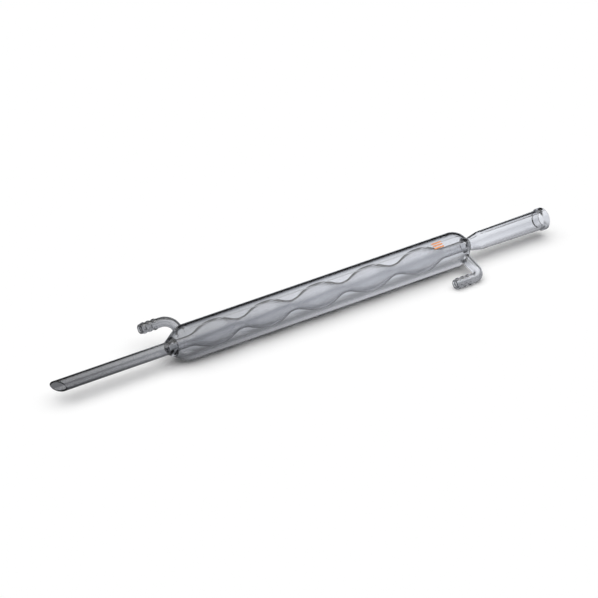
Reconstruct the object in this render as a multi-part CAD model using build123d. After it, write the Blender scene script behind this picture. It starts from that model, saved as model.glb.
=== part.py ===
from build123d import *
import math
import os

# Plain-ended bulb condenser: one piece of flame-worked borosilicate glass, in millimetres.
# It is drawn about its own axis, which is X, with both arms in the XY plane and the drip-end
# ring seal at x = 0. Last of all it is rolled about X until it lies on the jacket and one arm.

os.makedirs("parts", exist_ok=True)

# Jacket and its two shoulders; a start is measured from the nearer ring seal
jacket_diameter = 31.0
jacket_wall = 1.8
seal_spacing = 305.0
seal_groove_radius = 1.8
drip_shoulder_start = 8.0
drip_shoulder_slope = 31.0
drip_shoulder_radius = 16.0
drip_neck_radius = 3.0
upper_shoulder_start = 5.7
upper_shoulder_slope = 44.0
upper_shoulder_radius = 16.0
upper_neck_radius = 3.0

# Bulbed inner tube
bulb_count = 5
bulb_diameter = 22.0
waist_diameter = 9.8
waist_bend_radius = 20.0
inner_wall = 1.1
drip_end_neck = 13.1
upper_end_neck = 21.9

# Drip stem
stem_diameter = 11.0
stem_wall = 1.3
stem_length = 121.6
stem_bore_bend = 12.0
tip_slope = 45.0
tip_edge_radius = 0.4

# Wide tube at the upper end, with its beaded rim
neck_diameter = 11.2
flare_length = 12.5
flare_diameter = 16.6
flare_bend_radius = 30.0
tube_diameter = 18.1
tube_length = 90.6
tube_bore = 14.4
bore_flare_start = 2.0
bore_flare_length = 16.0
bore_bend_radius = 12.0
rim_diameter = 20.4
rim_length = 5.6
rim_ramp = 2.0
rim_foot_radius = 2.0
rim_back_radius = 4.0
rim_front_radius = 1.9
rim_lip_radius = 1.0

# Hose arms; heights are from the condenser's axis to the nozzle's axis
arm_diameter = 8.5
arm_bore = 5.5
arm_weld_radius = 2.5
arm_mouth_radius = 1.0
drip_arm_place = 13.5
drip_arm_height = 29.6
drip_arm_bend = 9.0
drip_arm_reach = 30.0
upper_arm_inset = 8.3
upper_arm_height = 38.0
upper_arm_bend = 8.0
upper_arm_reach = 29.2

# Ribs of the two hose nozzles
rib_count = 3
rib_diameter = 9.8
rib_pitch = 5.4
rib_flank = 1.4
rib_land = 1.4
rib_rounding = 0.8
first_rib = 1.8
nozzle_edge_radius = 0.6

# Worked out from the sizes above
jacket_radius = jacket_diameter / 2
jacket_bore_radius = jacket_radius - jacket_wall
waist_radius = waist_diameter / 2
bulb_rise = (bulb_diameter - waist_diameter) / 2
bulb_pitch = (seal_spacing - drip_end_neck - upper_end_neck) / bulb_count
stem_radius = stem_diameter / 2
stem_bore_radius = stem_radius - stem_wall
neck_bore_radius = waist_radius - inner_wall
tube_bore_radius = tube_bore / 2
rim_radius = rim_diameter / 2
rim_face = seal_spacing + tube_length
upper_corner = seal_spacing - upper_shoulder_start
arm_radius = arm_diameter / 2
rib_radius = rib_diameter / 2
cut_past_end = stem_diameter


def run(rise, slope):
    """Length along the axis over which a wall at this slope, in degrees, changes radius by rise."""
    return rise / math.tan(math.radians(slope))


def drip_neck():
    """Place where the slope of the drip-end shoulder meets the stem."""
    return drip_shoulder_start - run(jacket_radius - stem_radius, drip_shoulder_slope)


def outline(corners):
    """Half-section line through corners (x, radius, rounding); its two ends stay sharp."""
    points = [(x, 0, radius) for x, radius, rounding in corners]
    roundings = [rounding for x, radius, rounding in corners[1:-1]]
    return FilletPolyline(*points, radius=roundings)


def turned(*lines):
    """Solid of revolution about X whose closed half-section these lines make."""
    return revolve(make_face([edge for line in lines for edge in line.edges()]), Axis.X)


def outer_body():
    """All that lies inside the outer skin of stem, jacket and wide tube, arms left off."""
    neck_radius = neck_diameter / 2
    upper_neck = upper_corner + run(jacket_radius - neck_radius, upper_shoulder_slope)
    skin = outline([
        (-stem_length, 0, 0),
        (-stem_length, stem_radius, 0),
        (drip_neck(), stem_radius, drip_neck_radius),
        (drip_shoulder_start, jacket_radius, drip_shoulder_radius),
        (upper_corner, jacket_radius, upper_shoulder_radius),
        (upper_neck, neck_radius, upper_neck_radius),
        (upper_neck + flare_length, flare_diameter / 2, flare_bend_radius),
        (rim_face - rim_length - rim_ramp, tube_diameter / 2, rim_foot_radius),
        (rim_face - rim_length, rim_radius, rim_back_radius),
        (rim_face, rim_radius, rim_front_radius),
        (rim_face, 0, 0),
    ])
    return turned(skin, Line((rim_face, 0, 0), (-stem_length, 0, 0)))


def bulb_wall(inset):
    """Wavy wall from the first waist to the last, in tangent arcs, moved inwards by inset."""
    half_pitch = bulb_pitch / 2
    radii_sum = (half_pitch**2 + bulb_rise**2) / (2 * bulb_rise)
    turn = math.atan2(half_pitch, radii_sum - bulb_rise)
    bend = waist_bend_radius + inset
    low = waist_radius - inset
    high = low + bulb_rise

    def off_waist(waist_x, side, share):
        """Point on the bend beside a waist, at this share of its turn."""
        angle = share * turn
        return (waist_x + side * bend * math.sin(angle), 0, low + bend * (1 - math.cos(angle)))

    arcs = []
    for bulb in range(bulb_count):
        left = drip_end_neck + bulb * bulb_pitch
        right = left + bulb_pitch
        arcs += [
            ThreePointArc(off_waist(left, 1, 0), off_waist(left, 1, 0.5), off_waist(left, 1, 1)),
            ThreePointArc(off_waist(left, 1, 1), (left + half_pitch, 0, high), off_waist(right, -1, 1)),
            ThreePointArc(off_waist(right, -1, 1), off_waist(right, -1, 0.5), off_waist(right, -1, 0)),
        ]
    return arcs


def water_space():
    """Hollow round the bulbs, closed by the rounded groove of a ring seal at each end."""
    drip_bend = drip_shoulder_start + jacket_wall * math.tan(math.radians(drip_shoulder_slope) / 2)
    upper_bend = upper_corner - jacket_wall * math.tan(math.radians(upper_shoulder_slope) / 2)
    wall_rise = jacket_bore_radius - waist_radius
    jacket_side = outline([
        (drip_end_neck, waist_radius, 0),
        (drip_bend - run(wall_rise, drip_shoulder_slope), waist_radius, seal_groove_radius),
        (drip_bend, jacket_bore_radius, drip_shoulder_radius - jacket_wall),
        (upper_bend, jacket_bore_radius, upper_shoulder_radius - jacket_wall),
        (upper_bend + run(wall_rise, upper_shoulder_slope), waist_radius, seal_groove_radius),
        (seal_spacing - upper_end_neck, waist_radius, 0),
    ])
    return turned(jacket_side, *bulb_wall(0))


def vapour_space():
    """Hollow right through stem, bulbs and wide tube, run past both ends."""
    stem_side = outline([
        (-stem_length - cut_past_end, 0, 0),
        (-stem_length - cut_past_end, stem_bore_radius, 0),
        (drip_neck(), stem_bore_radius, stem_bore_bend),
        (0, neck_bore_radius, stem_bore_bend),
        (drip_end_neck, neck_bore_radius, 0),
    ])
    flare_start = seal_spacing + bore_flare_start
    tube_side = outline([
        (seal_spacing - upper_end_neck, neck_bore_radius, 0),
        (flare_start, neck_bore_radius, bore_bend_radius),
        (flare_start + bore_flare_length, tube_bore_radius, bore_bend_radius),
        (rim_face, tube_bore_radius, rim_lip_radius),
        (rim_face, rim_radius, 0),
        (rim_face + cut_past_end, rim_radius, 0),
        (rim_face + cut_past_end, 0, 0),
    ])
    closing = Line((rim_face + cut_past_end, 0, 0), (-stem_length - cut_past_end, 0, 0))
    return turned(stem_side, *bulb_wall(inner_wall), tube_side, closing)


def arm_path(place, side, height, bend, reach, start):
    """Centre line of an arm: out from the jacket at place, then round towards the drip end."""
    corners = [(place, side * start), (place, side * height), (place - reach, side * height)]
    return FilletPolyline(*corners, radius=bend)


def tube_along(path, radius):
    """Round bar of this radius along a path."""
    return sweep(Plane(origin=path @ 0, z_dir=path % 0) * Circle(radius), path=path)


def nozzle_ribs(place, side, height, reach):
    """The ribbed end of an arm, turned about the nozzle's own axis."""
    corners = [(0, 0, 0), (0, arm_radius, nozzle_edge_radius)]
    for rib in range(rib_count):
        start = first_rib + rib * rib_pitch
        corners += [
            (start, arm_radius, rib_rounding),
            (start + rib_flank, rib_radius, rib_rounding),
            (start + rib_flank + rib_land, rib_radius, rib_rounding),
            (start + 2 * rib_flank + rib_land, arm_radius, rib_rounding),
        ]
    length = first_rib + rib_count * rib_pitch
    corners += [(length, arm_radius, 0), (length, 0, 0)]
    return Pos(place - reach, side * height, 0) * turned(outline(corners), Line((length, 0, 0), (0, 0, 0)))


def glass_body():
    """The whole condenser about its own axis: skin, welded arms, water space and vapour space."""
    glass = outer_body()
    water = water_space()
    bore_start = jacket_bore_radius - arm_bore / 2
    for place, side, height, bend, reach in arms:
        arm = tube_along(arm_path(place, side, height, bend, reach - first_rib, stem_radius), arm_radius)
        welded = glass + arm
        glass = fillet(new_edges(glass, arm, combined=welded), arm_weld_radius)
        glass += nozzle_ribs(place, side, height, reach)
        bore = tube_along(arm_path(place, side, height, bend, reach + arm_diameter, bore_start), arm_bore / 2)
        opened = water + bore
        water = fillet(new_edges(water, bore, combined=opened), arm_mouth_radius)
    return glass - water - vapour_space()


def cut_tip(glass):
    """Stem end cut at a slope, longest on the side of the drip-end arm, with fire-polished edges."""
    slope = math.radians(tip_slope)
    cut = Plane(origin=(-stem_length, stem_radius, 0), z_dir=(-math.cos(slope), -math.sin(slope), 0))
    glass = split(glass, cut, keep=Keep.BOTTOM)
    return fillet(glass.faces().sort_by(Axis.X)[0].edges(), tip_edge_radius)


def laid_down(glass):
    """Rolled on to the jacket and the upper arm's ribs, with the origin under the middle of the whole."""
    roll = math.degrees(math.asin((jacket_radius - rib_radius) / upper_arm_height))
    rolled = Rot(roll, 0, 0) * glass
    box = rolled.bounding_box()
    middle = box.center()
    return Pos(-middle.X, -middle.Y, -box.min.Z) * rolled


arms = [
    (drip_arm_place, 1, drip_arm_height, drip_arm_bend, drip_arm_reach),
    (seal_spacing - upper_arm_inset, -1, upper_arm_height, upper_arm_bend, upper_arm_reach),
]

condenser = laid_down(cut_tip(glass_body()))
export_step(condenser, "parts/condenser_glass.step")
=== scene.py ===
import math

import bpy
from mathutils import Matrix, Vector


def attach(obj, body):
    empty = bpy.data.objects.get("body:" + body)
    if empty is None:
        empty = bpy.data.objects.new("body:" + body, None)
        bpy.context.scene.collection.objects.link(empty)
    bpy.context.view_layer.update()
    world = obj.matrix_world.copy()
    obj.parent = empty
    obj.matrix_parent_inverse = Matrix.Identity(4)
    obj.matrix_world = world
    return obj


# Glass condenser lying on a plain pale floor, seen as in the photograph. Lengths are in metres.

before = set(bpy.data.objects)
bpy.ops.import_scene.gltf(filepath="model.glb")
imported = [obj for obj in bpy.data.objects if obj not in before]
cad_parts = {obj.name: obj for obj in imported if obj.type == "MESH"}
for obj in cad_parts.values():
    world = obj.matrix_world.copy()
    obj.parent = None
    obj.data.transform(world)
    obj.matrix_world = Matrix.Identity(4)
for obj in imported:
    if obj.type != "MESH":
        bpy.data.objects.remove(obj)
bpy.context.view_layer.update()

# Camera: where it looks, from which side and from how far
view_turn = math.radians(36.05)
view_down = math.radians(28.4)
view_distance = 3.253
view_target = Vector((-0.00938, 0.004033, 0.0186))
lens = 230.4
sensor = 36.0
nearest_seen = 0.1
farthest_seen = 20.0
image_side = 598
half_pixel = 0.5 / image_side

# Glass, whose walls also absorb light and so darken where the eye looks along them
glass_ior = 1.47
glass_tint = (0.97, 0.972, 0.98, 1.0)
glass_roughness = 0.01
wall_tone = (0.30, 0.31, 0.34, 1.0)
wall_density = 115.0

# Orange print
enamel_orange = (0.86, 0.30, 0.08, 1.0)
enamel_roughness = 0.35

# White floor under a broad light, which rises from low to high between two heights in the sky,
# each the sine of an elevation
floor_half = 6.0
floor_white = (0.97, 0.97, 0.97, 1.0)
sky_white = (1.0, 1.0, 1.0, 1.0)
sky_low = 0.01
sky_high = 1.90
sky_low_height = 0.55
sky_high_height = 0.80

# What rays in the glass see in place of the floor: painted light, a glowing table with painted dark
# surroundings.
# It has a painted shadow under the jacket and painted shade in front of it and towards the drip end. Each
# share is of the table's own light.
painted_table_glow = (0.93, 0.95, 1.0, 1.0)
table_half_length = 0.30
table_half_width = 0.07
table_fade = 0.05
painted_dark_surround_share = 0.04
# Painted shadow on the table under the jacket
painted_shadow_half_width = 0.016
painted_shadow_share = 0.38
# Painted shade on the table in front of the jacket
front_dim_y = -0.032
front_bright_y = -0.020
painted_front_shade_share = 0.45
# Painted shade on the table, darker towards the drip end
drip_dim_x = -0.265
drip_bright_x = 0.105
painted_drip_shade_share = 0.17

# Jacket, as in the part
axis_y = 0.004033
axis_z = 0.0155
jacket_radius = 0.0155

# Printed mark near the jacket's upper end; its turn is from the top of the jacket towards +Y
mark_x = 0.134
mark_turn = math.radians(-25.0)
mark_thickness = 0.0001
mark_bars = 3
mark_bar_length = 0.010
mark_bar_width = 0.0014
mark_bar_pitch = 0.0026
mark_steps = 6
mark_step_corners = 4


def place_camera():
    """Long lens looking down on the condenser from its -Y side, nearer its drip end."""
    data = bpy.data.cameras.new("camera")
    data.lens = lens
    data.sensor_width = sensor
    data.shift_x = -half_pixel
    data.shift_y = half_pixel
    data.clip_start = nearest_seen
    data.clip_end = farthest_seen
    camera = bpy.data.objects.new("camera", data)
    forward = Vector((
        math.sin(view_turn) * math.cos(view_down),
        math.cos(view_turn) * math.cos(view_down),
        -math.sin(view_down),
    ))
    camera.location = view_target - forward * view_distance
    camera.rotation_mode = "QUATERNION"
    camera.rotation_quaternion = forward.to_track_quat("-Z", "Y")
    bpy.context.scene.collection.objects.link(camera)
    bpy.context.scene.camera = camera


def node_material(name):
    """New material that holds only an output node; returns it with its tree and that node."""
    material = bpy.data.materials.new(name)
    material.use_nodes = True
    tree = material.node_tree
    tree.nodes.clear()
    return material, tree, tree.nodes.new("ShaderNodeOutputMaterial")


def clear_glass():
    """Clear borosilicate glass."""
    material, tree, output = node_material("clear_glass")
    shader = tree.nodes.new("ShaderNodeBsdfPrincipled")
    shader.inputs["Base Color"].default_value = glass_tint
    shader.inputs["Roughness"].default_value = glass_roughness
    shader.inputs["IOR"].default_value = glass_ior
    shader.inputs["Transmission Weight"].default_value = 1.0
    tree.links.new(shader.outputs["BSDF"], output.inputs["Surface"])
    absorption = tree.nodes.new("ShaderNodeVolumeAbsorption")
    absorption.inputs["Color"].default_value = wall_tone
    absorption.inputs["Density"].default_value = wall_density
    tree.links.new(absorption.outputs["Volume"], output.inputs["Volume"])
    return material


def orange_enamel():
    """Fired orange print."""
    material, tree, output = node_material("orange_enamel")
    shader = tree.nodes.new("ShaderNodeBsdfPrincipled")
    shader.inputs["Base Color"].default_value = enamel_orange
    shader.inputs["Roughness"].default_value = enamel_roughness
    tree.links.new(shader.outputs["BSDF"], output.inputs["Surface"])
    return material


def math_node(tree, operation, first, second=0.0):
    """Math node fed by sockets or plain numbers; returns its output."""
    node = tree.nodes.new("ShaderNodeMath")
    node.operation = operation
    for place, value in enumerate((first, second)):
        if isinstance(value, (int, float)):
            node.inputs[place].default_value = value
        else:
            tree.links.new(value, node.inputs[place])
    return node.outputs[0]


def fade(tree, value, start, end):
    """Smooth rise from 0, where the value is start, to 1, where it is end."""
    node = tree.nodes.new("ShaderNodeMapRange")
    node.interpolation_type = "SMOOTHSTEP"
    node.inputs["From Min"].default_value = start
    node.inputs["From Max"].default_value = end
    tree.links.new(value, node.inputs["Value"])
    return node.outputs["Result"]


def between(tree, value, least, most):
    """A value from 0 to 1, made to run from least to most."""
    return math_node(tree, "ADD", math_node(tree, "MULTIPLY", value, most - least), least)


def painted_table_light(tree):
    """Painted light of the table at each place on the floor, with painted shadow and shade."""
    place = tree.nodes.new("ShaderNodeNewGeometry")
    split = tree.nodes.new("ShaderNodeSeparateXYZ")
    tree.links.new(place.outputs["Position"], split.inputs["Vector"])
    along = split.outputs["X"]
    beside = math_node(tree, "SUBTRACT", split.outputs["Y"], axis_y)
    from_middle = math_node(tree, "ABSOLUTE", along)
    from_axis = math_node(tree, "ABSOLUTE", beside)
    beyond_end = fade(tree, from_middle, table_half_length, table_half_length + table_fade)
    beyond_side = fade(tree, from_axis, table_half_width, table_half_width + table_fade)
    light = math_node(tree, "SUBTRACT", 1.0, math_node(tree, "MAXIMUM", beyond_end, beyond_side))
    # Painted shade towards the drip end, painted shadow under the jacket and painted shade in front of it
    for rise, share in (
        (fade(tree, along, drip_dim_x, drip_bright_x), painted_drip_shade_share),
        (fade(tree, from_axis, 0.0, painted_shadow_half_width), painted_shadow_share),
        (fade(tree, beside, front_dim_y, front_bright_y), painted_front_shade_share),
    ):
        light = math_node(tree, "MULTIPLY", light, between(tree, rise, share, 1.0))
    return math_node(tree, "MAXIMUM", light, painted_dark_surround_share)


def make_floor():
    """White floor that keeps the shadow; rays in the glass see the painted light of a glowing table in its
    place.
    """
    mesh = bpy.data.meshes.new("floor")
    corners = [(x * floor_half, y * floor_half, 0) for x, y in ((-1, -1), (1, -1), (1, 1), (-1, 1))]
    mesh.from_pydata(corners, [], [(0, 1, 2, 3)])
    floor = bpy.data.objects.new("floor", mesh)
    bpy.context.scene.collection.objects.link(floor)
    material, tree, output = node_material("floor")
    pale = tree.nodes.new("ShaderNodeBsdfDiffuse")
    pale.inputs["Color"].default_value = floor_white
    # The table's glow is painted light, seen only by rays in the glass
    table = tree.nodes.new("ShaderNodeEmission")
    table.inputs["Color"].default_value = painted_table_glow
    tree.links.new(painted_table_light(tree), table.inputs["Strength"])
    ray = tree.nodes.new("ShaderNodeLightPath")
    in_glass = math_node(tree, "MAXIMUM", ray.outputs["Is Transmission Ray"], ray.outputs["Is Glossy Ray"])
    mix = tree.nodes.new("ShaderNodeMixShader")
    tree.links.new(in_glass, mix.inputs["Fac"])
    tree.links.new(pale.outputs["BSDF"], mix.inputs[1])
    tree.links.new(table.outputs["Emission"], mix.inputs[2])
    tree.links.new(mix.outputs["Shader"], output.inputs["Surface"])
    mesh.materials.append(material)


def make_world():
    """Broad soft light from above, dim near the horizon, white to the camera."""
    world = bpy.data.worlds.new("studio")
    bpy.context.scene.world = world
    world.use_nodes = True
    tree = world.node_tree
    tree.nodes.clear()
    output = tree.nodes.new("ShaderNodeOutputWorld")
    background = tree.nodes.new("ShaderNodeBackground")
    background.inputs["Color"].default_value = sky_white
    direction = tree.nodes.new("ShaderNodeTexCoord")
    split = tree.nodes.new("ShaderNodeSeparateXYZ")
    tree.links.new(direction.outputs["Generated"], split.inputs["Vector"])
    rise = fade(tree, split.outputs["Z"], sky_low_height, sky_high_height)
    glow = between(tree, rise, sky_low, sky_high)
    seen = tree.nodes.new("ShaderNodeLightPath").outputs["Is Camera Ray"]
    unseen = math_node(tree, "SUBTRACT", 1.0, seen)
    strength = math_node(tree, "ADD", math_node(tree, "MULTIPLY", glow, unseen), seen)
    tree.links.new(strength, background.inputs["Strength"])
    tree.links.new(background.outputs["Background"], output.inputs["Surface"])


def round_jacket(x, turn, radius):
    """Point at this radius from the jacket's axis."""
    return (x, axis_y + radius * math.sin(turn), axis_z + radius * math.cos(turn))


def printed_mark(material):
    """Short orange bars printed along the jacket."""
    corners = []
    faces = []
    half_turn = mark_bar_width / 2 / jacket_radius
    for bar in range(mark_bars):
        middle = mark_turn + (bar - (mark_bars - 1) / 2) * mark_bar_pitch / jacket_radius
        first = len(corners)
        for step in range(mark_steps + 1):
            turn = middle + half_turn * (2 * step / mark_steps - 1)
            corners += [
                round_jacket(mark_x + side * mark_bar_length / 2, turn, radius)
                for side in (-1, 1)
                for radius in (jacket_radius, jacket_radius + mark_thickness)
            ]
        last = len(corners) - mark_step_corners
        for low in range(first, last, mark_step_corners):
            high = low + mark_step_corners
            faces += [
                (low, low + 2, high + 2, high),
                (low + 1, high + 1, high + 3, low + 3),
                (low, high, high + 1, low + 1),
                (low + 2, low + 3, high + 3, high + 2),
            ]
        faces += [(first, first + 1, first + 3, first + 2), (last, last + 2, last + 3, last + 1)]
    mesh = bpy.data.meshes.new("printed_mark")
    mesh.from_pydata(corners, [], faces)
    mesh.materials.append(material)
    mark = bpy.data.objects.new("printed_mark", mesh)
    bpy.context.scene.collection.objects.link(mark)
    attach(mark, "root")


place_camera()
make_world()
make_floor()
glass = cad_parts["condenser_glass"]
glass.data.materials.clear()
glass.data.materials.append(clear_glass())
printed_mark(orange_enamel())

bpy.context.scene.view_settings.view_transform = "Standard"
